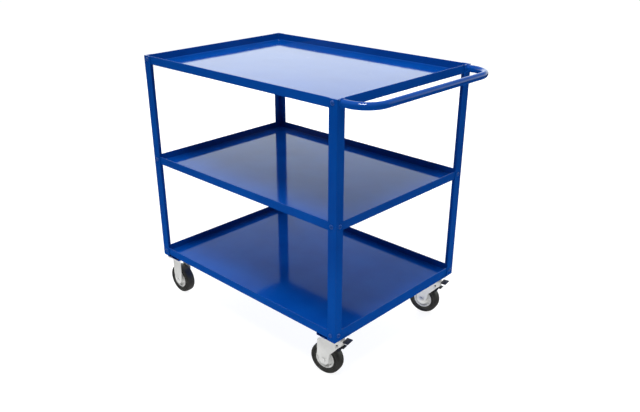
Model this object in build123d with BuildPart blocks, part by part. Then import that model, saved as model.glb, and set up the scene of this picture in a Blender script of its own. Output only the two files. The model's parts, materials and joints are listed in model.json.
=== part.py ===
"""Three-shelf workshop tool cart: angle-iron corner posts, bolted sheet-steel trays, a tube
push handle at one end, two fixed casters at the other end and two swivel casters under the handle.

Millimetres, +Z up.  X runs along the cart and +X is the handle end; the ground is z = 0 and the
origin is the middle of the whole footprint, handle included.
"""

import math
import os

from build123d import *

# ---------------------------------------------------------------- driving dimensions
CART_LENGTH = 1000.0        # over the corner posts, along X
CART_WIDTH = 710.0          # over the corner posts, along Y
CASTER_HEIGHT = 172.0       # ground to the top of a caster plate
POST_BOTTOM = 180.0         # ground to the foot of a corner post

ANGLE_SIZE = 35.0           # equal angle of the corner posts
ANGLE_WALL = 4.0
ANGLE_ROOT_R = 4.0
ANGLE_TOE_R = 1.8

TRAY_LEVELS = {"bottom": 185.0, "middle": 597.0, "top": 999.0}   # lower edge of each rim
RIM_HEIGHT = 31.0           # outside height of a tray's folded rim
RIM_WALL = 3.0              # the rim is sheet folded double
SHEET = 1.5
TRAY_DEPTH = 28.0           # rim top down to the floor
TRAY_CORNER_R = 6.0
CORNER_SEAM = 0.2           # mitre gap between two walls of a rim
SEAM_REACH = 20.0           # length of the cut that makes it, across a corner

HANDLE_TUBE_R = 12.5
HANDLE_TUBE_WALL = 2.0
HANDLE_REACH = 105.5        # post face to the middle of the grip
HANDLE_BEND_R = 80.0

BOLT_INSET = 20.0           # outer corner of a post to a bolt
BOLT_DROP = 13.0            # rim top down to a bolt

PLATE_X = 80.0              # caster top plate
PLATE_Y = 90.0
PLATE_T = 3.5
PLATE_INSET_X = 50.0        # end face of the cart to the plate's centre
PLATE_INSET_Y = {"front": 51.0, "rear": 58.0}        # side face of the cart to the plate's centre
PLATE_HOLES_X = 60.0
PLATE_HOLES_Y = 70.0

WHEEL_R = 62.5
TYRE_WIDTH = 40.0
TREAD_SHOULDER_R = 9.0
RIM_R = 38.0                # tyre bore
SWIVEL_TRAIL = 32.0
REST_HEADING = 10.0         # how both swivel casters stand, degrees about +Z
FORK_GAP = 46.0
FORK_T = 3.5
CROWN_DROP = 11.0           # plate top down to the top of the swivel fork's crown

CHANNEL_WALL = 2.5
CHANNEL_X = 88.0

RUNNING_FIT = 0.05          # radial clearance of balls and journals

# ---------------------------------------------------------------- derived places
HALF_L = CART_LENGTH / 2
HALF_W = CART_WIDTH / 2
FRONT_OVERHANG = WHEEL_R - PLATE_INSET_X            # the fixed wheels reach past the front posts
MIDDLE_X = -(HANDLE_REACH + HANDLE_TUBE_R - FRONT_OVERHANG) / 2

RIM_TOP = {name: z + RIM_HEIGHT for name, z in TRAY_LEVELS.items()}
POST_TOP = RIM_TOP["top"]
BOLT_Z = {name: z - BOLT_DROP for name, z in RIM_TOP.items()}
RIM_INSET = ANGLE_WALL                              # rims bear on the inside of the angles
RIM_INNER = RIM_INSET + RIM_WALL                    # inner face of a rim, from the cart's side
FLOOR_TOP = {name: z - TRAY_DEPTH for name, z in RIM_TOP.items()}

PLATE_TOP = CASTER_HEIGHT
PLATE_BOTTOM = PLATE_TOP - PLATE_T
CROWN_TOP = PLATE_TOP - CROWN_DROP
CROWN_BOTTOM = CROWN_TOP - FORK_T
AXLE_Z = WHEEL_R
FORK_OUTER = FORK_GAP / 2 + FORK_T

ENDS = {"front": -1, "rear": 1}                     # rear is the handle end
SIDES = {"left": -1, "right": 1}                    # as seen by whoever pushes


def post_heel(end, side):
    """Outer corner of a post, in plan."""
    return MIDDLE_X + ENDS[end] * HALF_L, SIDES[side] * HALF_W


def plate_centre(end, side):
    """Centre of a caster plate, in plan; it is also the swivel axis."""
    x, y = post_heel(end, side)
    return x - ENDS[end] * PLATE_INSET_X, y - SIDES[side] * PLATE_INSET_Y[end]


def forward(end):
    """Rolling direction of a caster as it stands."""
    angle = math.radians(REST_HEADING) if end == "rear" else 0.0
    return math.cos(angle), math.sin(angle), 0


def across(end):
    """Axle direction of a caster as it stands, towards +Y."""
    x, y, _ = forward(end)
    return -y, x, 0


def wheel_centre(end, side):
    """Centre of a wheel; the swivel casters trail towards the front."""
    x, y = plate_centre(end, side)
    trail = SWIVEL_TRAIL if end == "rear" else 0.0
    ahead = forward(end)
    return x - trail * ahead[0], y - trail * ahead[1], AXLE_Z


def keep(piece, name):
    """Label a finished piece and write it as its own STEP file."""
    piece.part.label = name
    export_step(piece.part, f"parts/{name}.step")


# ---------------------------------------------------------------- shelf fasteners
BOLT_R = 3.0                # M6 cup-head screw, its thread cut into the double rim
BOLT_HOLE_R = 3.3
BOLT_HEAD_R = 8.0
BOLT_HEAD_H = 3.6
BOLT_LENGTH = 7.0           # flush with the inside of the rim


def bolt_planes(level):
    """One plane per screw at a tray level: origin on the post's outer face, Z pointing outwards.

    The handle's ends take the place of two screws on the rear posts at the top tray.
    """
    planes = []
    for end, sx in ENDS.items():
        for side, sy in SIDES.items():
            x, y = post_heel(end, side)
            z = BOLT_Z[level]
            facing = Plane(origin=(x, y - sy * BOLT_INSET, z), x_dir=(0, 1, 0), z_dir=(sx, 0, 0))
            along = Plane(origin=(x - sx * BOLT_INSET, y, z), x_dir=(1, 0, 0), z_dir=(0, sy, 0))
            has_handle = level == "top" and end == "rear"
            planes += [along] if has_handle else [facing, along]
    return planes


def shelf_bolts(level):
    """Cup-head screws through the posts into the rim, heads outside."""
    with BuildPart() as bolts:
        for plane in bolt_planes(level):
            with BuildSketch(plane):
                Circle(BOLT_R)
            extrude(amount=-BOLT_LENGTH)
            with BuildSketch(plane):
                Circle(BOLT_HEAD_R)
            head = extrude(amount=BOLT_HEAD_H)
            rim = head.edges().filter_by(GeomType.CIRCLE).sort_by(lambda e: dome_rank(e, plane))[-1]
            fillet(rim, radius=BOLT_HEAD_H - 0.4)
    return bolts


def dome_rank(edge, plane):
    """Height of an edge above a plane, used to find the outer edge of a bolt head."""
    return (edge.center() - plane.origin).dot(plane.z_dir)


# ---------------------------------------------------------------- frame
def corner_post(end, side):
    """Hot-rolled equal angle with its heel at the outer corner, drilled at each tray level."""
    sx, sy = ENDS[end], SIDES[side]
    x, y = post_heel(end, side)
    outline = [
        (0, 0),
        (-sx * ANGLE_SIZE, 0),
        (-sx * ANGLE_SIZE, -sy * ANGLE_WALL),
        (-sx * ANGLE_WALL, -sy * ANGLE_WALL),
        (-sx * ANGLE_WALL, -sy * ANGLE_SIZE),
        (0, -sy * ANGLE_SIZE),
    ]
    with BuildPart() as post:
        with BuildSketch(Plane((x, y, POST_BOTTOM))) as section:
            with BuildLine():
                Polyline(*outline, close=True)
            make_face()
            root = section.vertices().sort_by_distance(outline[3])[0]
            fillet(root, radius=ANGLE_ROOT_R)
            for toe in (outline[2], outline[4]):
                corner = section.vertices().sort_by_distance(toe)[0]
                fillet(corner, radius=ANGLE_TOE_R)
        extrude(amount=POST_TOP - POST_BOTTOM)
        for level in TRAY_LEVELS:
            for plane in bolt_planes(level):
                with BuildSketch(plane):
                    Circle(BOLT_HOLE_R)
                extrude(amount=-ANGLE_WALL, mode=Mode.SUBTRACT)
    return post


def tray_plan(level, inset, z):
    """Plan outline of a tray at height z, inset from its outer faces."""
    outer_x = CART_LENGTH - 2 * RIM_INSET
    outer_y = CART_WIDTH - 2 * RIM_INSET
    with BuildSketch(Plane((MIDDLE_X, 0, z))) as plan:
        RectangleRounded(outer_x - 2 * inset, outer_y - 2 * inset, TRAY_CORNER_R - inset)
    return plan.sketch


def tray_rim(level):
    """Four walls of a tray, folded up and back down on themselves, mitred at the corners."""
    low, high = TRAY_LEVELS[level], RIM_TOP[level]
    floor_under = FLOOR_TOP[level] - SHEET
    with BuildPart() as rim:
        extrude(tray_plan(level, 0, low), amount=high - low)
        extrude(tray_plan(level, SHEET, low), amount=floor_under - low, mode=Mode.SUBTRACT)
        extrude(tray_plan(level, RIM_WALL, floor_under), amount=high - floor_under, mode=Mode.SUBTRACT)
        top_face = rim.faces().filter_by(Axis.Z).sort_by(Axis.Z)[-1]
        fillet(top_face.edges(), radius=RIM_WALL / 2 - 0.1)
        for plane in bolt_planes(level):
            with BuildSketch(plane):
                Circle(BOLT_R)
            extrude(amount=-(RIM_INNER + 1), mode=Mode.SUBTRACT)
        with BuildSketch(Plane((MIDDLE_X, 0, low))):
            for sx in ENDS.values():
                for sy in SIDES.values():
                    with Locations((sx * (HALF_L - RIM_INSET), sy * (HALF_W - RIM_INSET))):
                        Rectangle(SEAM_REACH, CORNER_SEAM, rotation=45 * sx * sy)
        extrude(amount=RIM_HEIGHT, mode=Mode.SUBTRACT)
    return rim


def tray_floor(level):
    """Flat floor of a tray, inside its rim."""
    with BuildPart() as floor:
        extrude(tray_plan(level, RIM_WALL, FLOOR_TOP[level]), amount=-SHEET)
    return floor


def handle_tube():
    """U-bent push handle, its ends welded to the rear faces of the two rear posts."""
    face_x = MIDDLE_X + HALF_L
    grip_x = face_x + HANDLE_REACH
    end_y = HALF_W - BOLT_INSET
    height = BOLT_Z["top"]
    with BuildPart() as tube:
        with BuildLine() as path:
            FilletPolyline(
                (face_x, -end_y, height),
                (grip_x, -end_y, height),
                (grip_x, end_y, height),
                (face_x, end_y, height),
                radius=HANDLE_BEND_R,
            )
        with BuildSketch(Plane(origin=(face_x, -end_y, height), z_dir=(1, 0, 0))):
            Circle(HANDLE_TUBE_R)
            Circle(HANDLE_TUBE_R - HANDLE_TUBE_WALL, mode=Mode.SUBTRACT)
        sweep(path=path.wires()[0])
    return tube


def caster_channel(end):
    """Folded channel welded across the underside of the bottom tray; it carries two casters."""
    x = plate_centre(end, "left")[0]
    floor_under = FLOOR_TOP["bottom"] - SHEET
    length = CART_WIDTH - 2 * (RIM_INNER + 1)
    with BuildPart() as channel:
        with BuildSketch(Plane((x, 0, PLATE_TOP))):
            Rectangle(CHANNEL_X, length)
        extrude(amount=floor_under - PLATE_TOP)
        with BuildSketch(Plane((x, 0, PLATE_TOP + CHANNEL_WALL))):
            Rectangle(CHANNEL_X - 2 * CHANNEL_WALL, length)
        extrude(amount=floor_under - PLATE_TOP, mode=Mode.SUBTRACT)
        folds = channel.edges().filter_by(Axis.Y).group_by(Axis.Z)[0]
        fillet(folds, radius=CHANNEL_WALL)
        with BuildSketch(Plane((x, 0, PLATE_TOP))):
            for side in SIDES:
                with Locations((0, plate_centre(end, side)[1])):
                    with GridLocations(PLATE_HOLES_X, PLATE_HOLES_Y, 2, 2):
                        Circle(CASTER_HOLE_R)
        extrude(amount=CHANNEL_WALL, mode=Mode.SUBTRACT)
    return channel


# ---------------------------------------------------------------- caster fasteners
CASTER_BOLT_R = 4.0         # M8 hexagon bolts into weld nuts
CASTER_HOLE_R = 4.5
CASTER_BOLT_FLATS = 13.0
CASTER_BOLT_HEAD = 5.3
CASTER_BOLT_LENGTH = 12.0
WELD_NUT_FLATS = 14.0
WELD_NUT_HEIGHT = 6.0


def caster_hole_planes(end, z):
    """Upward planes at the eight caster bolts of one end."""
    planes = []
    for side in SIDES:
        x, y = plate_centre(end, side)
        for dx in (-PLATE_HOLES_X / 2, PLATE_HOLES_X / 2):
            for dy in (-PLATE_HOLES_Y / 2, PLATE_HOLES_Y / 2):
                planes.append(Plane((x + dx, y + dy, z)))
    return planes


def caster_bolts(end):
    """Bolts from below through the caster plates, heads underneath."""
    with BuildPart() as bolts:
        for plane in caster_hole_planes(end, PLATE_BOTTOM):
            with BuildSketch(plane):
                RegularPolygon(CASTER_BOLT_FLATS / 2, 6, major_radius=False)
            extrude(amount=-CASTER_BOLT_HEAD)
            with BuildSketch(plane):
                Circle(CASTER_BOLT_R)
            extrude(amount=CASTER_BOLT_LENGTH)
    return bolts


def weld_nuts(end):
    """Weld nuts inside the channel."""
    with BuildPart() as nuts:
        for plane in caster_hole_planes(end, PLATE_TOP + CHANNEL_WALL):
            with BuildSketch(plane):
                RegularPolygon(WELD_NUT_FLATS / 2, 6, major_radius=False)
                Circle(CASTER_BOLT_R, mode=Mode.SUBTRACT)
            extrude(amount=WELD_NUT_HEIGHT)
    return nuts


# ---------------------------------------------------------------- wheel and axle
AXLE_R = 5.0                # M10 axle bolt
AXLE_HOLE_R = 5.2
AXLE_FLATS = 17.0
AXLE_HEAD = 6.4
AXLE_NUT_HEIGHT = 8.0
AXLE_TAIL = 2.5             # thread beyond the nut
SLEEVE_R = 7.5
CAGE_R = 10.0
HUB_R = 17.0
HUB_WIDTH = 43.0
WEB_T = 9.0
CORE_RIM_INNER_R = 32.0
CORE_RIM_WIDTH = 34.0


def axle_plane(caster, offset):
    """Plane across the axle, facing out of the cart's side, offset from the wheel's middle."""
    end, side = caster
    out = SIDES[side] * Vector(*across(end))
    return Plane(origin=wheel_centre(end, side), x_dir=forward(end), z_dir=out).offset(offset)


def axle_bolts(casters):
    """Axle bolts with their heads on the outer legs."""
    with BuildPart() as bolts:
        for caster in casters:
            face = axle_plane(caster, FORK_OUTER)
            with BuildSketch(face):
                RegularPolygon(AXLE_FLATS / 2, 6, major_radius=False)
            extrude(amount=AXLE_HEAD)
            with BuildSketch(face):
                Circle(AXLE_R)
            extrude(amount=-(2 * FORK_OUTER + AXLE_NUT_HEIGHT + AXLE_TAIL))
    return bolts


def axle_nuts(casters):
    """Lock nuts on the inner legs."""
    with BuildPart() as nuts:
        for caster in casters:
            with BuildSketch(axle_plane(caster, -FORK_OUTER)):
                RegularPolygon(AXLE_FLATS / 2, 6, major_radius=False)
                Circle(AXLE_R, mode=Mode.SUBTRACT)
            extrude(amount=-AXLE_NUT_HEIGHT)
    return nuts


def axle_sleeves(casters):
    """Spacer tubes clamped between the legs; the roller cages turn on them."""
    with BuildPart() as sleeves:
        for caster in casters:
            with BuildSketch(axle_plane(caster, FORK_GAP / 2)):
                Circle(SLEEVE_R)
                Circle(AXLE_HOLE_R, mode=Mode.SUBTRACT)
            extrude(amount=-FORK_GAP)
    return sleeves


def roller_cage(caster):
    """Roller bearing cage pressed into the hub."""
    with BuildPart() as cage:
        with BuildSketch(axle_plane(caster, HUB_WIDTH / 2 - 1)):
            Circle(CAGE_R)
            Circle(SLEEVE_R + RUNNING_FIT, mode=Mode.SUBTRACT)
        extrude(amount=-(HUB_WIDTH - 2))
    return cage


def turned_about_axle(caster):
    """Sketch plane whose X is the wheel's radius and whose Y runs along the axle."""
    return Plane(origin=wheel_centre(*caster), x_dir=(0, 0, 1), z_dir=forward(caster[0]))


def axle_line(caster):
    """The axis that a wheel turns about."""
    return Axis(wheel_centre(*caster), across(caster[0]))


def wheel_core(caster):
    """Moulded wheel centre: hub, dished web and rim."""
    half_hub, half_web, half_rim = HUB_WIDTH / 2, WEB_T / 2, CORE_RIM_WIDTH / 2
    section = [
        (CAGE_R, half_hub),
        (HUB_R, half_hub),
        (HUB_R + 4, half_web + 2),
        (CORE_RIM_INNER_R - 5, half_web),
        (CORE_RIM_INNER_R, half_rim - 2),
        (CORE_RIM_INNER_R + 2, half_rim),
        (RIM_R, half_rim),
    ]
    with BuildPart() as core:
        with BuildSketch(turned_about_axle(caster)):
            with BuildLine():
                Polyline(*section, *[(r, -w) for r, w in reversed(section)], close=True)
            make_face()
        revolve(axis=axle_line(caster))
    return core


def tyre(caster):
    """Solid rubber tyre with rounded shoulders."""
    half = TYRE_WIDTH / 2
    half_bead = CORE_RIM_WIDTH / 2
    section = [(RIM_R, half_bead), (RIM_R + 4, half), (WHEEL_R, half)]
    with BuildPart() as ring:
        with BuildSketch(turned_about_axle(caster)) as profile:
            with BuildLine():
                Polyline(*section, *[(r, -w) for r, w in reversed(section)], close=True)
            make_face()
            fillet(profile.vertices().group_by(Axis.X)[-1], radius=TREAD_SHOULDER_R)
        revolve(axis=axle_line(caster))
    return ring


# ---------------------------------------------------------------- swivel caster
BALL_R = 2.5
GROOVE_R = BALL_R + RUNNING_FIT
UPPER_RACE_R = 17.0
LOWER_RACE_R = 12.0
UPPER_BALLS = 14
LOWER_BALLS = 9
RACE_GAP = 2.0              # between the faces that hold a ball ring
BOSS_R = 20.5
KINGPIN_R = 6.0
KINGPIN_HEAD_R = 9.5
KINGPIN_BORE_R = 7.0
KINGPIN_FLATS = 18.0
KINGPIN_NUT = 10.0
KINGPIN_TAIL = 2.5
LOWER_RACE_T = 3.5
LOWER_RACE_OUTER_R = 16.0
SEAL_T = 1.6

BOSS_BOTTOM = CROWN_TOP + RACE_GAP
UPPER_BALL_Z = CROWN_TOP + RACE_GAP / 2
LOWER_BALL_Z = CROWN_BOTTOM - RACE_GAP / 2
LOWER_RACE_TOP = CROWN_BOTTOM - RACE_GAP
LOWER_RACE_BOTTOM = LOWER_RACE_TOP - LOWER_RACE_T

CROWN_R = 37.0              # front of the fork's crown, from the kingpin
LEG_REAR = 28.0             # rear edge of the fork's leg, behind the axle
LEG_END_R = 20.0            # rounded lower end of a leg
CROWN_EDGE_R = 6.5
NOSE_DROP = 24.0            # the nose's wall, down from the top of the crown
BRAKE_PIVOT_X = 22.0        # ahead of the kingpin
BRAKE_PIVOT_Z = 142.0
BRAKE_PIN_R = 3.0


def top_plate(side):
    """Caster plate with the pressed boss that holds the upper ball ring."""
    x, y = plate_centre("rear", side)
    with BuildPart() as plate:
        with BuildSketch(Plane((x, y, PLATE_BOTTOM))):
            RectangleRounded(PLATE_X, PLATE_Y, 8)
        extrude(amount=PLATE_T)
        with BuildSketch(Plane((x, y, BOSS_BOTTOM))):
            Circle(BOSS_R)
        extrude(amount=PLATE_BOTTOM - BOSS_BOTTOM)
        with Locations(Plane((x, y, PLATE_TOP))):
            with GridLocations(PLATE_HOLES_X, PLATE_HOLES_Y, 2, 2):
                Hole(CASTER_HOLE_R, depth=PLATE_T)
        with BuildSketch(Plane(origin=(x, y, PLATE_TOP), x_dir=(1, 0, 0), z_dir=(0, -1, 0))):
            with BuildLine():
                Polyline(*kingpin_seat(), close=True)
            make_face()
        revolve(axis=Axis((x, y, PLATE_TOP), (0, 0, 1)), mode=Mode.SUBTRACT)
        with Locations((x, y, UPPER_BALL_Z)):
            Torus(UPPER_RACE_R, GROOVE_R, mode=Mode.SUBTRACT)
    return plate


def kingpin_seat():
    """Half section of the countersunk hole through the plate, from its top face down."""
    depth = KINGPIN_HEAD_R - KINGPIN_R
    low = BOSS_BOTTOM - PLATE_TOP
    return [(0, 0), (KINGPIN_HEAD_R, 0), (KINGPIN_R, -depth), (KINGPIN_R, low), (0, low)]


def kingpin(side):
    """Countersunk king bolt, flush with the plate's top, down through the crown."""
    x, y = plate_centre("rear", side)
    tip = LOWER_RACE_BOTTOM - KINGPIN_NUT - KINGPIN_TAIL - PLATE_TOP
    section = kingpin_seat()[:3] + [(KINGPIN_R, tip + 1), (KINGPIN_R - 1, tip), (0, tip)]
    with BuildPart() as pin:
        with BuildSketch(Plane(origin=(x, y, PLATE_TOP), x_dir=(1, 0, 0), z_dir=(0, -1, 0))):
            with BuildLine():
                Polyline(*section, close=True)
            make_face()
        revolve(axis=Axis((x, y, PLATE_TOP), (0, 0, 1)))
    return pin


def kingpin_nut(side):
    """Lock nut under the lower race."""
    x, y = plate_centre("rear", side)
    with BuildPart() as nut:
        with BuildSketch(Plane((x, y, LOWER_RACE_BOTTOM))):
            RegularPolygon(KINGPIN_FLATS / 2, 6, major_radius=False)
            Circle(KINGPIN_R, mode=Mode.SUBTRACT)
        extrude(amount=-KINGPIN_NUT)
    return nut


def lower_race(side):
    """Hardened washer that holds the lower ball ring against the crown."""
    x, y = plate_centre("rear", side)
    with BuildPart() as race:
        with BuildSketch(Plane((x, y, LOWER_RACE_BOTTOM))):
            Circle(LOWER_RACE_OUTER_R)
            Circle(KINGPIN_R, mode=Mode.SUBTRACT)
        extrude(amount=LOWER_RACE_T)
        with Locations((x, y, LOWER_BALL_Z)):
            Torus(LOWER_RACE_R, GROOVE_R, mode=Mode.SUBTRACT)
    return race


def swivel_balls(side):
    """Both ball rings of the swivel head."""
    x, y = plate_centre("rear", side)
    with BuildPart() as balls:
        with Locations((x, y, UPPER_BALL_Z)):
            with PolarLocations(UPPER_RACE_R, UPPER_BALLS):
                Sphere(BALL_R)
        with Locations((x, y, LOWER_BALL_Z)):
            with PolarLocations(LOWER_RACE_R, LOWER_BALLS):
                Sphere(BALL_R)
    return balls


def swivel_seal(side):
    """Dust ring round the upper balls, pushed on the plate's boss."""
    x, y = plate_centre("rear", side)
    with BuildPart() as seal:
        with BuildSketch(Plane((x, y, CROWN_TOP + 0.4))):
            Circle(BOSS_R + SEAL_T)
            Circle(BOSS_R, mode=Mode.SUBTRACT)
        extrude(amount=PLATE_BOTTOM - CROWN_TOP - 0.6)
    return seal


def fork_plan(side, half_width, z):
    """Plan outline of the fork at height z: straight sides and a round nose ahead of the kingpin."""
    x, y = plate_centre("rear", side)
    nose = CROWN_R - FORK_OUTER
    back = -SWIVEL_TRAIL - LEG_REAR - 1
    with BuildSketch(Plane(origin=(x, y, z), x_dir=forward("rear"), z_dir=(0, 0, 1))) as plan:
        with Locations(((nose + back) / 2, 0)):
            Rectangle(nose - back, 2 * half_width)
        with Locations((nose, 0)):
            Circle(half_width)
    return plan.sketch


def swivel_fork(side):
    """Pressed fork: round-nosed crown over the wheel, and two legs that trail behind the kingpin."""
    x, y = plate_centre("rear", side)
    axle_x = -SWIVEL_TRAIL
    axle_z = AXLE_Z - CROWN_TOP
    rear_x = axle_x - LEG_REAR
    flat_end = -33.0
    shoulder_z = -18.0
    height = -axle_z + LEG_END_R
    side_view = Plane(
        origin=(x, y, CROWN_TOP),
        x_dir=forward("rear"),
        z_dir=-Vector(*across("rear")),
    )
    with BuildPart() as fork:
        extrude(fork_plan(side, FORK_OUTER, CROWN_TOP), amount=-height)
        top_face = fork.faces().filter_by(Axis.Z).sort_by(Axis.Z)[-1]
        fillet(top_face.edges(), radius=CROWN_EDGE_R)
        extrude(fork_plan(side, FORK_GAP / 2, CROWN_BOTTOM), amount=-height, mode=Mode.SUBTRACT)
        with BuildSketch(side_view):
            with BuildLine():
                Polyline(
                    (axle_x, axle_z),
                    (rear_x + 8, axle_z + 4),
                    (rear_x, axle_z + 22),
                    (rear_x, shoulder_z),
                    (flat_end, 0),
                    (CROWN_R, 0),
                    (CROWN_R, -NOSE_DROP),
                    (CROWN_R - 8, -NOSE_DROP - 4),
                    (axle_x + LEG_END_R + 6, axle_z + 32),
                    (axle_x + LEG_END_R, axle_z),
                    close=True,
                )
            make_face()
            with Locations((axle_x, axle_z)):
                Circle(LEG_END_R)
            with Locations((axle_x, axle_z)):
                Circle(AXLE_HOLE_R, mode=Mode.SUBTRACT)
        extrude(amount=FORK_OUTER + 1, both=True, mode=Mode.INTERSECT)
        with BuildSketch(side_view):
            with Locations((BRAKE_PIVOT_X, BRAKE_PIVOT_Z - CROWN_TOP)):
                Circle(BRAKE_PIN_R + RUNNING_FIT)
        extrude(amount=FORK_OUTER + 1, both=True, mode=Mode.SUBTRACT)
        with BuildSketch(Plane((x, y, CROWN_TOP))):
            Circle(KINGPIN_BORE_R)
        extrude(amount=-FORK_T, mode=Mode.SUBTRACT)
        with Locations((x, y, UPPER_BALL_Z)):
            Torus(UPPER_RACE_R, GROOVE_R, mode=Mode.SUBTRACT)
        with Locations((x, y, LOWER_BALL_Z)):
            Torus(LOWER_RACE_R, GROOVE_R, mode=Mode.SUBTRACT)
    return fork


# ---------------------------------------------------------------- brake of a swivel caster
BRAKE_ARM_W = 22.0
PEDAL_W = 34.0
BRAKE_BOSS_R = 5.5
BRAKE_PIN_LENGTH = 49.0


def brake_pedal(side):
    """Brake lever with its pivot pin: shoe ahead of the tyre, arm under the fork's nose, pedal outside."""
    x, y = plate_centre("rear", side)
    side_view = Plane(
        origin=(x, y, 0),
        x_dir=forward("rear"),
        z_dir=-Vector(*across("rear")),
    )
    with BuildPart() as lever:
        with BuildSketch(side_view):
            with Locations((BRAKE_PIVOT_X, BRAKE_PIVOT_Z)):
                Circle(BRAKE_BOSS_R)
            with BuildLine():
                Polyline((17, 142), (27, 142), (27, 132), (44, 132), (63, 158), (59, 160), (42, 127),
                         (26, 126), (22, 108), (14, 108), (15, 122), close=True)
            make_face()
        extrude(amount=BRAKE_ARM_W / 2, both=True)
        with BuildSketch(side_view):
            with BuildLine():
                Polyline((41, 156), (61, 155), (64, 157), (63, 160), (41, 160), close=True)
            make_face()
        extrude(amount=PEDAL_W / 2, both=True)
        with BuildSketch(side_view):
            with Locations((BRAKE_PIVOT_X, BRAKE_PIVOT_Z)):
                Circle(BRAKE_PIN_R)
        extrude(amount=BRAKE_PIN_LENGTH / 2, both=True)
    return lever


# ---------------------------------------------------------------- fixed caster
BRACKET_LEG = 50.0          # width of a leg along the cart
BRACKET_FLARE_R = 14.0


def fixed_bracket(side):
    """One-piece bracket of a fixed caster: top plate and two straight legs."""
    x, y = plate_centre("front", side)
    drop = AXLE_Z - PLATE_BOTTOM
    half = BRACKET_LEG / 2
    with BuildPart() as bracket:
        with BuildSketch(Plane(origin=(x, y, PLATE_BOTTOM), x_dir=(1, 0, 0), z_dir=(0, -1, 0))) as leg:
            with BuildLine():
                Line((-half - BRACKET_FLARE_R, 0), (half + BRACKET_FLARE_R, 0))
                RadiusArc((half + BRACKET_FLARE_R, 0), (half, -BRACKET_FLARE_R), -BRACKET_FLARE_R)
                Line((half, -BRACKET_FLARE_R), (LEG_END_R + 5, drop + 30))
                Line((LEG_END_R + 5, drop + 30), (LEG_END_R, drop))
                Line((LEG_END_R, drop), (-LEG_END_R, drop))
                Line((-LEG_END_R, drop), (-LEG_END_R - 5, drop + 30))
                Line((-LEG_END_R - 5, drop + 30), (-half, -BRACKET_FLARE_R))
                RadiusArc((-half, -BRACKET_FLARE_R), (-half - BRACKET_FLARE_R, 0), -BRACKET_FLARE_R)
            make_face()
            with Locations((0, drop)):
                Circle(LEG_END_R)
            with Locations((0, drop)):
                Circle(AXLE_HOLE_R, mode=Mode.SUBTRACT)
        extrude(amount=FORK_OUTER, both=True)
        with BuildSketch(Plane((x, y, AXLE_Z - LEG_END_R - 1))):
            Rectangle(PLATE_X, FORK_GAP)
        extrude(amount=PLATE_BOTTOM - AXLE_Z + LEG_END_R + 1, mode=Mode.SUBTRACT)
        with BuildSketch(Plane((x, y, PLATE_BOTTOM))):
            RectangleRounded(PLATE_X, PLATE_Y, 8)
        extrude(amount=PLATE_T)
        with Locations(Plane((x, y, PLATE_TOP))):
            with GridLocations(PLATE_HOLES_X, PLATE_HOLES_Y, 2, 2):
                Hole(CASTER_HOLE_R, depth=PLATE_T)
    return bracket


# ---------------------------------------------------------------- write every piece
os.makedirs("parts", exist_ok=True)

for end_name in ENDS:
    for side_name in SIDES:
        keep(corner_post(end_name, side_name), f"post_{end_name}_{side_name}")

for level_name in TRAY_LEVELS:
    keep(tray_rim(level_name), f"tray_rim_{level_name}")
    keep(tray_floor(level_name), f"tray_floor_{level_name}")
    keep(shelf_bolts(level_name), f"shelf_bolts_{level_name}")

keep(handle_tube(), "handle_tube")

for end_name in ENDS:
    keep(caster_channel(end_name), f"caster_channel_{end_name}")
    keep(caster_bolts(end_name), f"caster_bolts_{end_name}")
    keep(weld_nuts(end_name), f"weld_nuts_{end_name}")
    for side_name in SIDES:
        caster_name = (end_name, side_name)
        keep(wheel_core(caster_name), f"wheel_core_{end_name}_{side_name}")
        keep(tyre(caster_name), f"tyre_{end_name}_{side_name}")
        keep(roller_cage(caster_name), f"roller_cage_{end_name}_{side_name}")

fixed_casters = [("front", side_name) for side_name in SIDES]
keep(axle_bolts(fixed_casters), "axle_bolts_front")
keep(axle_nuts(fixed_casters), "axle_nuts_front")
keep(axle_sleeves(fixed_casters), "axle_sleeves_front")

for side_name in SIDES:
    keep(fixed_bracket(side_name), f"fixed_bracket_front_{side_name}")
    keep(top_plate(side_name), f"top_plate_rear_{side_name}")
    keep(kingpin(side_name), f"kingpin_rear_{side_name}")
    keep(kingpin_nut(side_name), f"kingpin_nut_rear_{side_name}")
    keep(lower_race(side_name), f"lower_race_rear_{side_name}")
    keep(swivel_balls(side_name), f"swivel_balls_rear_{side_name}")
    keep(swivel_seal(side_name), f"swivel_seal_rear_{side_name}")
    keep(swivel_fork(side_name), f"swivel_fork_rear_{side_name}")
    keep(brake_pedal(side_name), f"brake_pedal_rear_{side_name}")
    swivel_caster = [("rear", side_name)]
    keep(axle_bolts(swivel_caster), f"axle_bolt_rear_{side_name}")
    keep(axle_nuts(swivel_caster), f"axle_nut_rear_{side_name}")
    keep(axle_sleeves(swivel_caster), f"axle_sleeve_rear_{side_name}")
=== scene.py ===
"""Looks of the three-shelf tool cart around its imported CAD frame.

Metres, +Z up, +X the handle end.
"""

import json
import math

import bmesh
import bpy
from mathutils import Matrix, Vector


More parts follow.
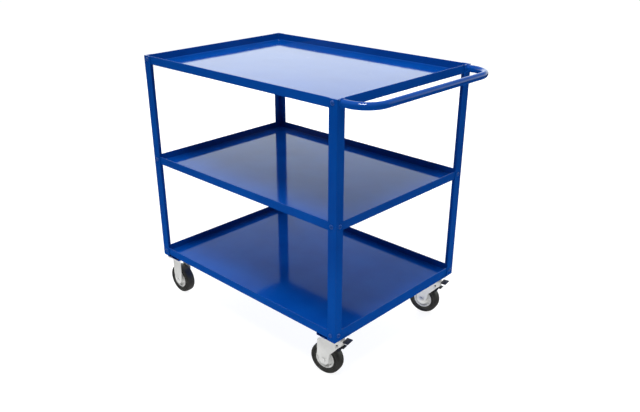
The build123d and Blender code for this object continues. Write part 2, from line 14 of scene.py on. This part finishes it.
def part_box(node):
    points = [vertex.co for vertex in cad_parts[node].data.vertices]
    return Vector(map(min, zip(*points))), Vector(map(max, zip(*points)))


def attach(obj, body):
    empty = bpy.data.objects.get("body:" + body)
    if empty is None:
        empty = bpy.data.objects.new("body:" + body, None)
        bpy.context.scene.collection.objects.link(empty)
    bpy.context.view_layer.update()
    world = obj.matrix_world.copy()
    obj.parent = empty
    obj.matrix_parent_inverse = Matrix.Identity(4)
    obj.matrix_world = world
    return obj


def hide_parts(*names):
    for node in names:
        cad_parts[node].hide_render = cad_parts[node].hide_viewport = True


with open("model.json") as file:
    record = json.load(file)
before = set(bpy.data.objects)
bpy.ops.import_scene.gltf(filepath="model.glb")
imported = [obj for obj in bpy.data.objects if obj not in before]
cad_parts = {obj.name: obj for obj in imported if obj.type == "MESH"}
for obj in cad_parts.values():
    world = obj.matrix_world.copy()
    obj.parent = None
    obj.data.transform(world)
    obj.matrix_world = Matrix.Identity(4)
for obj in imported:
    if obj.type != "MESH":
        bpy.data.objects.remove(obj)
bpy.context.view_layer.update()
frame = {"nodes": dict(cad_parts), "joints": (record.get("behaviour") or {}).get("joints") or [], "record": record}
MM = 0.001
EDGE_ROUND = 0.5 * MM


# ---------------------------------------------------------------- node helpers
class Shader:
    """A small builder for one procedural node material."""

    def __init__(self, name):
        self.material = bpy.data.materials.new(name)
        self.material.use_nodes = True
        self.tree = self.material.node_tree
        self.tree.nodes.clear()
        self.surface = self.add("ShaderNodeBsdfPrincipled")
        output = self.add("ShaderNodeOutputMaterial")
        self.link(self.surface.outputs["BSDF"], output.inputs["Surface"])
        self.coords = self.add("ShaderNodeTexCoord").outputs["Object"]

    def add(self, kind):
        return self.tree.nodes.new(kind)

    def link(self, source, target):
        self.tree.links.new(source, target)

    def put(self, **values):
        """Constant values on the surface shader's own sockets."""
        for key, value in values.items():
            self.surface.inputs[key.replace("_", " ")].default_value = value

    def noise(self, scale, detail=2.0, roughness=0.5):
        node = self.add("ShaderNodeTexNoise")
        node.inputs["Scale"].default_value = scale
        node.inputs["Detail"].default_value = detail
        node.inputs["Roughness"].default_value = roughness
        self.link(self.coords, node.inputs["Vector"])
        return node.outputs["Fac"]

    def ramp(self, factor, low, high, start=0.0, end=1.0):
        """Maps factor from start..end to low..high, colours or numbers."""
        node = self.add("ShaderNodeValToRGB")
        stops = ((start, low), (end, high))
        for element, (position, value) in zip(node.color_ramp.elements, stops):
            element.position = position
            element.color = value if isinstance(value, tuple) else (value, value, value, 1)
        self.link(factor, node.inputs["Fac"])
        return node.outputs["Color"]

    def bump(self, height, distance, strength=1.0, under=None):
        node = self.add("ShaderNodeBump")
        node.inputs["Strength"].default_value = strength
        node.inputs["Distance"].default_value = distance
        self.link(height, node.inputs["Height"])
        if under is not None:
            self.link(under, node.inputs["Normal"])
        return node.outputs["Normal"]

    def drive(self, **sockets):
        """Links node outputs into the surface shader."""
        for key, output in sockets.items():
            self.link(output, self.surface.inputs[key.replace("_", " ")])


def powder_coat():
    """Glossy blue coating: faint orange peel, slow waves of the sheet, small changes of tone."""
    s = Shader("blue_coating")
    s.put(IOR=1.5, Specular_IOR_Level=0.5)
    tone = s.noise(7.0, detail=4.0)
    colour = s.ramp(tone, (0.0005, 0.045, 0.255, 1), (0.0010, 0.057, 0.300, 1), 0.3, 0.7)
    gloss = s.ramp(s.noise(45.0, detail=5.0, roughness=0.6), 0.05, 0.10, 0.3, 0.7)
    waves = s.bump(s.noise(5.0, detail=1.0), 0.0009, 0.5)
    peel = s.bump(s.noise(420.0, detail=2.0), 0.00006, 0.3, under=waves)
    s.drive(Base_Color=colour, Roughness=gloss, Normal=peel)
    return s.material


def zinc(name, bright, metallic):
    """Plated or bare steel: fine grain, soft cloudy patches."""
    s = Shader(name)
    s.put(Metallic=metallic, IOR=1.8)
    clouds = s.noise(30.0, detail=5.0, roughness=0.65)
    dull = (bright * 0.88, bright * 0.88, bright * 0.86, 1)
    clean = (bright, bright, bright * 0.985, 1)
    rough = s.ramp(s.noise(160.0, detail=4.0), 0.28, 0.48, 0.3, 0.7)
    grain = s.bump(s.noise(900.0, detail=2.0), 0.00003, 0.4)
    s.drive(Base_Color=s.ramp(clouds, dull, clean, 0.3, 0.7), Roughness=rough, Normal=grain)
    return s.material


def painted_screw():
    """Blue paint over the screw heads, duller than the frame's coating and slightly worn."""
    s = Shader("bolt_heads")
    s.put(IOR=1.5)
    wear = s.noise(220.0, detail=4.0)
    colour = s.ramp(wear, (0.0008, 0.042, 0.240, 1), (0.004, 0.060, 0.290, 1), 0.3, 0.75)
    texture = s.bump(s.noise(900.0, detail=2.0), 0.00003, 0.4)
    s.drive(Base_Color=colour, Roughness=s.ramp(wear, 0.26, 0.42, 0.3, 0.7), Normal=texture)
    return s.material


def rubber():
    """Black moulded rubber with a dusty bloom."""
    s = Shader("tyre_rubber")
    s.put(IOR=1.5)
    bloom = s.noise(60.0, detail=6.0, roughness=0.7)
    colour = s.ramp(bloom, (0.018, 0.018, 0.017, 1), (0.042, 0.041, 0.037, 1), 0.35, 0.7)
    rough = s.ramp(bloom, 0.30, 0.50, 0.3, 0.7)
    pores = s.bump(s.noise(700.0, detail=3.0), 0.00008, 0.4)
    s.drive(Base_Color=colour, Roughness=rough, Normal=pores)
    return s.material


def moulded(name, low, high):
    """Moulded plastic: nearly even tone with a fine spark-eroded texture."""
    s = Shader(name)
    s.put(IOR=1.46)
    tone = s.noise(90.0, detail=3.0)
    texture = s.bump(s.noise(1100.0, detail=2.0), 0.00004, 0.35)
    s.drive(Base_Color=s.ramp(tone, low, high, 0.3, 0.7),
            Roughness=s.ramp(tone, 0.38, 0.52, 0.3, 0.7), Normal=texture)
    return s.material


def brake_paint():
    """Dark satin paint of the brake levers, scuffed by shoes."""
    s = Shader("brake_paint")
    s.put(IOR=1.5)
    scuffs = s.noise(120.0, detail=6.0, roughness=0.7)
    colour = s.ramp(scuffs, (0.004, 0.005, 0.012, 1), (0.020, 0.024, 0.040, 1), 0.35, 0.75)
    grain = s.bump(s.noise(800.0, detail=2.0), 0.00003, 0.4)
    s.drive(Base_Color=colour, Roughness=s.ramp(scuffs, 0.30, 0.48, 0.3, 0.7), Normal=grain)
    return s.material


BLUE = powder_coat()
ZINC = zinc("zinc_plate", 0.74, 0.15)
SCREW = painted_screw()
STEEL = zinc("bearing_steel", 0.55, 0.9)
# weld nuts near-black: painted shade for the dark open ends of the channels, not the steel's own colour
NUT_PAINTED_SHADE = zinc("weld_nut_painted_shade", 0.12, 0.8)
RUBBER = rubber()
BRAKE = brake_paint()
CORE = moulded("wheel_core", (0.50, 0.50, 0.49, 1), (0.60, 0.60, 0.59, 1))
CAGE = moulded("bearing_cage", (0.62, 0.58, 0.47, 1), (0.70, 0.66, 0.55, 1))
SEAL = moulded("seal", (0.02, 0.02, 0.022, 1), (0.035, 0.035, 0.037, 1))

SLOT_MATERIAL = {
    "blue_coating": BLUE, "zinc_plate": ZINC, "bolt_heads": SCREW, "bearing_steel": STEEL,
    "brake_paint": BRAKE, "wheel_core": CORE, "bearing_cage": CAGE, "seal": SEAL, "tyre": RUBBER,
}
NODE_SLOT = {row["node"]: row["material_slot"] for row in frame["record"]["subparts"]}
PRESSED = (
    "swivel_fork", "brake_pedal", "fixed_bracket", "top_plate",
    "axle_", "kingpin_nut", "caster_bolts",
)


def dress_cad_nodes():
    """Gives every CAD node its material, the weld nuts a near-black one as painted shade, and rounds the edges of
    pressed and cut pieces.
    """
    for name, node in frame["nodes"].items():
        node.data.materials.clear()
        dark = name.startswith("weld_nuts")     # weld nuts darkened as painted shade, for the shaded open ends of the channels
        node.data.materials.append(NUT_PAINTED_SHADE if dark else SLOT_MATERIAL[NODE_SLOT[name]])
        if name.startswith(PRESSED):
            weld = node.modifiers.new("weld", "WELD")
            weld.merge_threshold = 0.01 * MM
            soften(node)


def soften(thing):
    """Rounds the sharp edges of a piece and keeps its flat faces flat in shading."""
    bevel = thing.modifiers.new("edge_rounding", "BEVEL")
    bevel.width = EDGE_ROUND
    bevel.segments = 2
    bevel.limit_method = "ANGLE"
    bevel.angle_limit = math.radians(40)
    bevel.use_clamp_overlap = False
    bevel.harden_normals = True


# ---------------------------------------------------------------- mesh helpers
def arc(centre, radius, start, end, steps):
    """Points along an arc in a plane, angles in degrees, both ends included."""
    angles = [math.radians(start + (end - start) * k / steps) for k in range(steps + 1)]
    return [(centre[0] + radius * math.cos(a), centre[1] + radius * math.sin(a)) for a in angles]


def rounded(corners, steps=4):
    """Outline with a round at each (x, y, radius) corner; radius 0 leaves it sharp."""
    outline = []
    for k, (x, y, radius) in enumerate(corners):
        corner = Vector((x, y))
        before = (Vector(corners[k - 1][:2]) - corner).normalized()
        after = (Vector(corners[(k + 1) % len(corners)][:2]) - corner).normalized()
        if radius == 0:
            outline.append(corner)
            continue
        half = before.angle(after) / 2
        centre = corner + (before + after).normalized() * radius / math.sin(half)
        start = corner + before * radius / math.tan(half) - centre
        end = corner + after * radius / math.tan(half) - centre
        turn = start.angle_signed(end)
        for n in range(steps + 1):
            outline.append(centre + Matrix.Rotation(-turn * n / steps, 2) @ start)
    return outline


def piece(name, points, faces, material, body, slot, replaces=(), sharp=35):
    """A mesh object that rides on a body and stands for the given CAD nodes."""
    mesh = bpy.data.meshes.new(name)
    mesh.from_pydata([tuple(p) for p in points], [], faces)
    work = bmesh.new()
    work.from_mesh(mesh)
    bmesh.ops.recalc_face_normals(work, faces=work.faces)
    work.to_mesh(mesh)
    work.free()
    mesh.shade_smooth()
    mesh.set_sharp_from_angle(angle=math.radians(sharp))
    mesh.materials.append(material)
    thing = bpy.data.objects.new(name, mesh)
    bpy.context.scene.collection.objects.link(thing)
    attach(thing, body)
    if replaces:
        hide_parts(*replaces)
    return thing


def flat_shading(thing):
    """Keeps the broad flat faces even beside small bends."""
    weighted = thing.modifiers.new("weighted_normals", "WEIGHTED_NORMAL")
    weighted.keep_sharp = True


def bridge(first, second, count):
    """Quads between two closed rings of count points that start at indices first and second."""
    quads = []
    for k in range(count):
        after = (k + 1) % count
        quads.append((first + k, first + after, second + after, second + k))
    return quads


def rings_to_mesh(rings, cap_start=False, cap_end=False, loop=False):
    """Vertices and faces of a stack of equal closed rings."""
    count = len(rings[0])
    points = [p for ring in rings for p in ring]
    faces = []
    for k in range(len(rings) - 1):
        faces += bridge(k * count, (k + 1) * count, count)
    if loop:
        faces += bridge((len(rings) - 1) * count, 0, count)
    if cap_start:
        faces.append(tuple(range(count)))
    if cap_end:
        faces.append(tuple(range(len(points) - count, len(points))))
    return points, faces


def revolved(section, centre, axis, steps):
    """Closed (radius, along) section turned about a level axis."""
    axis = Vector(axis).normalized()
    up = Vector((0, 0, 1))
    rings = []
    for k in range(steps):
        out = Matrix.Rotation(2 * math.pi * k / steps, 3, axis) @ up
        rings.append([Vector(centre) + out * r + axis * w for r, w in section])
    return rings_to_mesh(rings, loop=True)


def swept(path, radius, sides, ripple=0.0, pitch=1.0, closed=False):
    """Round tube along a path of close points; ripple and pitch give a weld bead its waves."""
    rings = []
    run = 0.0
    normal = None
    for k, point in enumerate(path):
        nxt = path[(k + 1) % len(path)] if closed or k + 1 < len(path) else point
        last = path[k - 1] if closed or k else point
        tangent = (nxt - last).normalized()
        run += (point - last).length if k else 0.0
        if normal is None:
            normal = tangent.orthogonal().normalized()
        normal = (normal - tangent * normal.dot(tangent)).normalized()
        side = tangent.cross(normal)
        size = radius * (1 + ripple * math.sin(2 * math.pi * run / pitch))
        angles = [2 * math.pi * n / sides for n in range(sides)]
        rings.append([point + (normal * math.cos(a) + side * math.sin(a)) * size for a in angles])
    return rings_to_mesh(rings, cap_start=not closed, cap_end=not closed, loop=closed)


def joined(parts):
    """One list of points and faces out of several."""
    points, faces = [], []
    for some_points, some_faces in parts:
        shift = len(points)
        points += some_points
        faces += [tuple(i + shift for i in face) for face in some_faces]
    return points, faces


# ---------------------------------------------------------------- places, read from the frame
ENDS = {"front": -1, "rear": 1}
SIDES = {"left": -1, "right": 1}
LEVELS = ("bottom", "middle", "top")
POSTS_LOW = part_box("post_front_left")[0]
POSTS_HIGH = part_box("post_rear_right")[1]
MIDDLE_X = (POSTS_LOW[0] + POSTS_HIGH[0]) / 2
HALF_L = (POSTS_HIGH[0] - POSTS_LOW[0]) / 2
HALF_W = (POSTS_HIGH[1] - POSTS_LOW[1]) / 2
JOINTS = {joint["name"]: joint for joint in frame["joints"]}
ANGLE_SIZE = 35 * MM
ANGLE_WALL = 4 * MM
BOLT_INSET = 20 * MM
BOLT_DROP = 13 * MM
TRAY_DEPTH = 28 * MM        # from the rim's top down to the floor
TRAY_CORNER = 6 * MM
TRAY_SHEET = 1.5 * MM
TRAY_BEND = 2.5 * MM
HANDLE_BEND = 80 * MM       # radius of the tube's middle line
CORNER_BEAD = 1.5 * MM      # radii of the weld beads
CHANNEL_BEAD = 1.8 * MM
HANDLE_BEAD = 2.4 * MM
TUBE_SIDES = 40
WHEEL_STEPS = 96


def heel(end, side):
    """Outer corner of a post, in plan."""
    return Vector((MIDDLE_X + ENDS[end] * HALF_L, SIDES[side] * HALF_W, 0))


# ---------------------------------------------------------------- frame pieces
def post(end, side):
    """Rolled steel angle with rounded toes and root."""
    sx, sy = ENDS[end], SIDES[side]
    corner = heel(end, side)
    name = f"post_{end}_{side}"
    low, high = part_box(name)[0][2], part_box(name)[1][2]
    size, wall = ANGLE_SIZE, ANGLE_WALL
    outline = rounded([
        (0, 0, 1.2 * MM), (-size, 0, 0), (-size, -wall, 1.8 * MM),
        (-wall, -wall, 4 * MM), (-wall, -size, 1.8 * MM), (0, -size, 0),
    ])
    rings = []
    for z in (low, high):
        rings.append([Vector((corner.x + sx * p.x, corner.y + sy * p.y, z)) for p in outline])
    points, faces = rings_to_mesh(rings, cap_start=True, cap_end=True)
    angle = piece(f"angle_{name}", points, faces, BLUE, "frame", "blue_coating", (name,))
    soften(angle)


def tray_section(height):
    """Folded edge of a tray as (in from the outer face, up from the lower edge), floor to floor."""
    sheet, bend = TRAY_SHEET, TRAY_BEND
    floor = height - TRAY_DEPTH
    root = (2 * sheet + bend, floor + bend)
    section = arc(root, bend, 270, 180, 4)
    section += arc((sheet, height - sheet), sheet, 0, 180, 8)
    section += arc((sheet / 2, sheet / 2), sheet / 2, 180, 360, 4)
    section += arc(root, bend + sheet, 182, 270, 5)
    return section


def tray(level):
    """Pan of folded sheet: double rim, round corners, bent floor edge."""
    low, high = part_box(f"tray_rim_{level}")
    corner_r, steps = TRAY_CORNER, 8
    rings = []
    for inset, up in tray_section(high[2] - low[2]):
        radius = corner_r - inset
        ring = []
        for k, (sx, sy) in enumerate(((1, 1), (-1, 1), (-1, -1), (1, -1))):
            centre = (
                (high[0] if sx > 0 else low[0]) - sx * corner_r,
                (high[1] if sy > 0 else low[1]) - sy * corner_r,
            )
            turn = arc(centre, radius, 90 * k, 90 * k + 90, steps)
            ring += [Vector((x, y, low[2] + up)) for x, y in turn]
        rings.append(ring)
    points, faces = rings_to_mesh(rings, cap_start=True, cap_end=True)
    nodes = (f"tray_rim_{level}", f"tray_floor_{level}")
    pan = piece(f"folded_tray_{level}", points, faces, BLUE, "frame", "blue_coating", nodes)
    flat_shading(pan)


def corner_welds(level):
    """Upright weld bead inside each corner of a tray."""
    low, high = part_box(f"tray_rim_{level}")
    step = 0.5 * MM
    inset = 4.1 * MM
    start, stop = high[2] - TRAY_DEPTH, high[2] - TRAY_BEND
    beads = []
    for x, sx in ((low[0], 1), (high[0], -1)):
        for y, sy in ((low[1], 1), (high[1], -1)):
            spot = Vector((x + sx * inset, y + sy * inset, start))
            path = [spot + Vector((0, 0, k * step)) for k in range(int((stop - start) / step))]
            beads.append(swept(path, CORNER_BEAD, 10, ripple=0.16, pitch=3.0 * MM))
    piece(f"corner_welds_{level}", *joined(beads), BLUE, "frame", "blue_coating", sharp=80)


def button_head(at, out):
    """Rings of a round-headed socket screw: socket, dome, underside, shank."""
    out = Vector(out)
    side = out.orthogonal().normalized()
    profile = [  # height, radius, hexagonal
        (1.6, 2.0, True), (2.9, 2.0, True),
        (3.3, 2.9, False), (3.2, 4.3, False), (2.7, 5.8, False), (1.8, 7.1, False),
        (0.8, 7.9, False), (0.0, 8.0, False), (0.0, 3.0, False), (-6.9, 3.0, False),
    ]
    steps = 24
    rings = []
    for height, radius, hexagonal in profile:
        ring = []
        for n in range(steps):
            angle = 2 * math.pi * n / steps
            from_flat = (angle + math.pi / 6) % (math.pi / 3) - math.pi / 6
            reach = radius / math.cos(from_flat) if hexagonal else radius
            out_here = Matrix.Rotation(angle, 3, out) @ side
            ring.append(at + out * height * MM + out_here * reach * MM)
        rings.append(ring)
    return rings_to_mesh(rings, cap_start=True, cap_end=True)


def screws(level):
    """Every screw of one tray; the handle takes the place of two at the top."""
    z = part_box(f"tray_rim_{level}")[1][2] - BOLT_DROP
    heads = []
    for end, sx in ENDS.items():
        for side, sy in SIDES.items():
            corner = heel(end, side)
            on_end = Vector((corner.x, corner.y - sy * BOLT_INSET, z))
            on_side = Vector((corner.x - sx * BOLT_INSET, corner.y, z))
            if not (level == "top" and end == "rear"):
                heads.append(button_head(on_end, (sx, 0, 0)))
            heads.append(button_head(on_side, (0, sy, 0)))
    name = f"shelf_bolts_{level}"
    piece(f"socket_screws_{level}", *joined(heads), SCREW, "frame", "bolt_heads", (name,), sharp=50)


def handle():
    """One tube bent twice, and the weld bead round each end."""
    low, high = (Vector(v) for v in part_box("handle_tube"))
    radius = (high.z - low.z) / 2
    bend = HANDLE_BEND
    grip, face, z = high.x - radius, low.x, (low.z + high.z) / 2
    first_bend = arc((grip - bend, low.y + radius + bend), bend, -90, 0, 24)
    second_bend = arc((grip - bend, high.y - radius - bend), bend, 0, 90, 24)
    path = [Vector((face, low.y + radius, z))]
    path += [Vector((x, y, z)) for x, y in first_bend + second_bend]
    path.append(Vector((face, high.y - radius, z)))
    tube = swept(path, radius, TUBE_SIDES)
    piece("bent_handle", *tube, BLUE, "frame", "blue_coating", ("handle_tube",))
    for side, y in (("left", low.y + radius), ("right", high.y - radius)):
        circle = arc((y, z), radius + 0.6 * MM, 0, 357, 119)
        ring = [Vector((face + 1.0 * MM, across, up)) for across, up in circle]
        bead = swept(ring, HANDLE_BEAD, 10, ripple=0.10, pitch=3.2 * MM, closed=True)
        piece(f"handle_weld_{side}", *bead, BLUE, "frame", "blue_coating", sharp=80)


def stitch_welds(end):
    """Short weld beads along both edges of a caster channel, under the bottom tray."""
    low, high = (Vector(v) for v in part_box(f"caster_channel_{end}"))
    count, half_length = 6, 14     # beads along an edge, and half a bead in millimetres
    beads = []
    for x in (low.x, high.x):
        for k in range(count):
            y = low.y + (high.y - low.y) * (k + 0.5) / count
            steps = range(-half_length, half_length + 1)
            path = [Vector((x, y + d * MM, high.z - 0.6 * MM)) for d in steps]
            beads.append(swept(path, CHANNEL_BEAD, 8, ripple=0.12, pitch=3.5 * MM))
    piece(f"channel_welds_{end}", *joined(beads), BLUE, "frame", "blue_coating", sharp=80)


# ---------------------------------------------------------------- wheels
def mirrored(half):
    """Section of (radius, along) points closed with its mirror image across the wheel's middle."""
    return [(r * MM, w * MM) for r, w in half] + [(r * MM, -w * MM) for r, w in reversed(half)]


TYRE_HALF = (
    [(38, 8), (38, 16.6), (39.2, 18.6), (40.6, 19.5), (42.6, 19.6)]
    + [(44.0, 18.6), (44.8, 17.4), (49.6, 17.2), (50.6, 18.6), (52.2, 19.4)]
    + arc((53.0, 10.4), 9.0, 90, 12, 8) + [(62.3, 7), (62.5, 2)]
)
CORE_HALF = [
    (10, 8), (10, 20.5), (10.8, 21.5), (16.2, 21.5), (17.2, 20.6), (17.8, 10.5),
    (19.0, 8.4), (21.5, 7.2), (27.0, 6.2), (30.0, 6.8), (31.6, 8.6),
    (32.4, 14.2), (33.4, 16.2), (35.0, 17.0), (37.6, 17.0), (38, 16.6),
]


def wheel(end, side):
    """Rubber tyre with moulded side ribs, on a dished core."""
    spin = JOINTS[f"wheel_{end}_{side}_spin"]
    body = spin["child"]
    for name, half, material, slot in (
        ("tyre", TYRE_HALF, RUBBER, "tyre"),
        ("wheel_core", CORE_HALF, CORE, "wheel_core"),
    ):
        node = f"{name}_{end}_{side}"
        mesh = revolved(mirrored(half), spin["pos_m"], spin["axis"], WHEEL_STEPS)
        piece(f"moulded_{node}", *mesh, material, body, slot, (node,), sharp=40)


dress_cad_nodes()
for end_name in ENDS:
    for side_name in SIDES:
        post(end_name, side_name)
        wheel(end_name, side_name)
    stitch_welds(end_name)
for level_name in LEVELS:
    tray(level_name)
    corner_welds(level_name)
    screws(level_name)
handle()


# ---------------------------------------------------------------- floor, light, camera
FLOOR_SIZE = 60.0
WALL_RADIUS = 28.0


def studio_floor():
    """White floor that glows a little, so that shadows on it stay faint."""
    bpy.ops.mesh.primitive_plane_add(size=FLOOR_SIZE)
    floor = bpy.context.object
    floor.name = "studio_floor"
    s = Shader("studio_floor")
    s.put(Roughness=0.9, Emission_Color=(1, 1, 1, 1), Emission_Strength=0.92)
    s.drive(Base_Color=s.ramp(s.noise(3.0), (0.20, 0.20, 0.20, 1), (0.21, 0.21, 0.21, 1)))
    floor.data.materials.append(s.material)
    floor.visible_glossy = False
    floor.visible_diffuse = False


def studio_wall():
    """White wall all round, seen behind the cart but left out of its light and reflections."""
    bpy.ops.mesh.primitive_cylinder_add(
        vertices=96, radius=WALL_RADIUS, depth=2 * WALL_RADIUS, end_fill_type="NOTHING")
    wall = bpy.context.object
    wall.name = "studio_wall"
    s = Shader("studio_wall")
    s.put(Roughness=0.9, Emission_Color=(1, 1, 1, 1))
    s.drive(Emission_Strength=s.ramp(s.noise(0.2), 1.0, 1.02))
    wall.data.materials.append(s.material)
    wall.visible_glossy = False
    wall.visible_diffuse = False
    wall.visible_shadow = False


FAR_SIDE = Vector((-0.70, 0.71, 0.0))     # towards the bright backdrop behind the cart


def studio_world():
    """A bright backdrop low down on the far side, and dim surroundings elsewhere."""
    world = bpy.data.worlds.new("studio")
    bpy.context.scene.world = world
    world.use_nodes = True
    tree = world.node_tree
    tree.nodes.clear()
    out = tree.nodes.new("ShaderNodeOutputWorld")
    back = tree.nodes.new("ShaderNodeBackground")
    coords = tree.nodes.new("ShaderNodeTexCoord")
    split = tree.nodes.new("ShaderNodeSeparateXYZ")
    tree.links.new(coords.outputs["Generated"], split.inputs[0])

    def height_ramp(stops):
        """Colour by the sine of the elevation; stops are (sine, red, green, blue)."""
        shift = tree.nodes.new("ShaderNodeMath")
        shift.operation = "MULTIPLY_ADD"
        shift.inputs[1].default_value = 0.5
        shift.inputs[2].default_value = 0.5
        tree.links.new(split.outputs["Z"], shift.inputs[0])
        ramp = tree.nodes.new("ShaderNodeValToRGB")
        elements = ramp.color_ramp.elements
        while len(elements) < len(stops):
            elements.new(0.5)
        for element, (sine, red, green, blue) in zip(elements, stops):
            element.position = 0.5 + sine / 2
            element.color = (red, green, blue, 1)
        tree.links.new(shift.outputs[0], ramp.inputs["Fac"])
        return ramp.outputs["Color"]

    far = height_ramp([
        (-1, 0.01, 0.01, 0.01), (-0.06, 0.02, 0.02, 0.02), (0.0, 1.60, 1.70, 1.57),
        (0.21, 1.55, 1.64, 1.52), (0.34, 0.88, 0.97, 0.94), (0.46, 0.35, 0.43, 0.52),
        (0.66, 0.20, 0.27, 0.38), (1, 0.25, 0.30, 0.36),
    ])
    near = height_ramp([
        (-1, 0.01, 0.01, 0.01), (-0.05, 0.02, 0.02, 0.02), (0.02, 0.05, 0.05, 0.05),
        (0.5, 0.08, 0.08, 0.08), (0.8, 0.25, 0.25, 0.25), (1, 0.30, 0.30, 0.30),
    ])
    facing = tree.nodes.new("ShaderNodeVectorMath")
    facing.operation = "DOT_PRODUCT"
    facing.inputs[1].default_value = FAR_SIDE
    tree.links.new(coords.outputs["Generated"], facing.inputs[0])
    blend = tree.nodes.new("ShaderNodeMapRange")
    blend.interpolation_type = "SMOOTHSTEP"
    blend.inputs["From Min"].default_value = -0.15
    blend.inputs["From Max"].default_value = 0.35
    tree.links.new(facing.outputs["Value"], blend.inputs["Value"])
    mix = tree.nodes.new("ShaderNodeMix")
    mix.data_type = "RGBA"
    tree.links.new(blend.outputs["Result"], mix.inputs["Factor"])
    tree.links.new(near, mix.inputs[6])
    tree.links.new(far, mix.inputs[7])
    tree.links.new(mix.outputs[2], back.inputs["Color"])
    tree.links.new(back.outputs[0], out.inputs[0])


def softbox(name, at, towards, size, power, glossy=False):
    """Rectangular lamp that the camera does not see."""
    light = bpy.data.lights.new(name, "AREA")
    light.shape = "RECTANGLE"
    light.size, light.size_y = size
    light.energy = power
    lamp = bpy.data.objects.new(name, light)
    lamp.location = at
    lamp.rotation_euler = (Vector(towards) - Vector(at)).to_track_quat("-Z", "Y").to_euler()
    lamp.visible_glossy = glossy
    lamp.visible_camera = False
    bpy.context.scene.collection.objects.link(lamp)


CAMERA_LENS = 39.44
CAMERA_SHIFT = (0.0161, 0.0458)
CAMERA_LOOK = Vector((-0.6335, 0.6461, -0.4256))
CAMERA_RIGHT = Vector((0.7158, 0.6983, -0.0052))
CAMERA_PLACE = (1.8569, -1.8579, 1.5445)     # from the middle of the posts


def camera():
    """Three-quarter view from the handle end's left corner."""
    data = bpy.data.cameras.new("camera")
    data.sensor_width = 36.0
    data.lens = CAMERA_LENS
    data.shift_x, data.shift_y = CAMERA_SHIFT
    cam = bpy.data.objects.new("camera", data)
    back = -CAMERA_LOOK.normalized()
    right = CAMERA_RIGHT.normalized()
    up = back.cross(right).normalized()
    right = up.cross(back).normalized()
    along, across, height = CAMERA_PLACE
    place = Vector((MIDDLE_X + along, across, height))
    cam.matrix_world = Matrix((
        (right.x, up.x, back.x, place.x),
        (right.y, up.y, back.y, place.y),
        (right.z, up.z, back.z, place.z),
        (0, 0, 0, 1),
    ))
    bpy.context.scene.collection.objects.link(cam)
    bpy.context.scene.camera = cam


studio_floor()
studio_wall()
studio_world()
softbox("key", (0.8, -1.5, 4.5), (0, 0, 0.6), (1.3, 1.3), 140, glossy=True)
softbox("top", (0.0, 0.0, 4.2), (0, 0, 0.5), (3.0, 3.0), 60)
softbox("back_fill", (-3.0, 3.0, 2.0), (0, 0, 0.6), (3.0, 3.0), 290)
softbox("floor_glow", (0.0, 0.0, 0.004), (0, 0, 1), (5.0, 5.0), 160)
camera()
bpy.context.scene.view_settings.view_transform = "Standard"
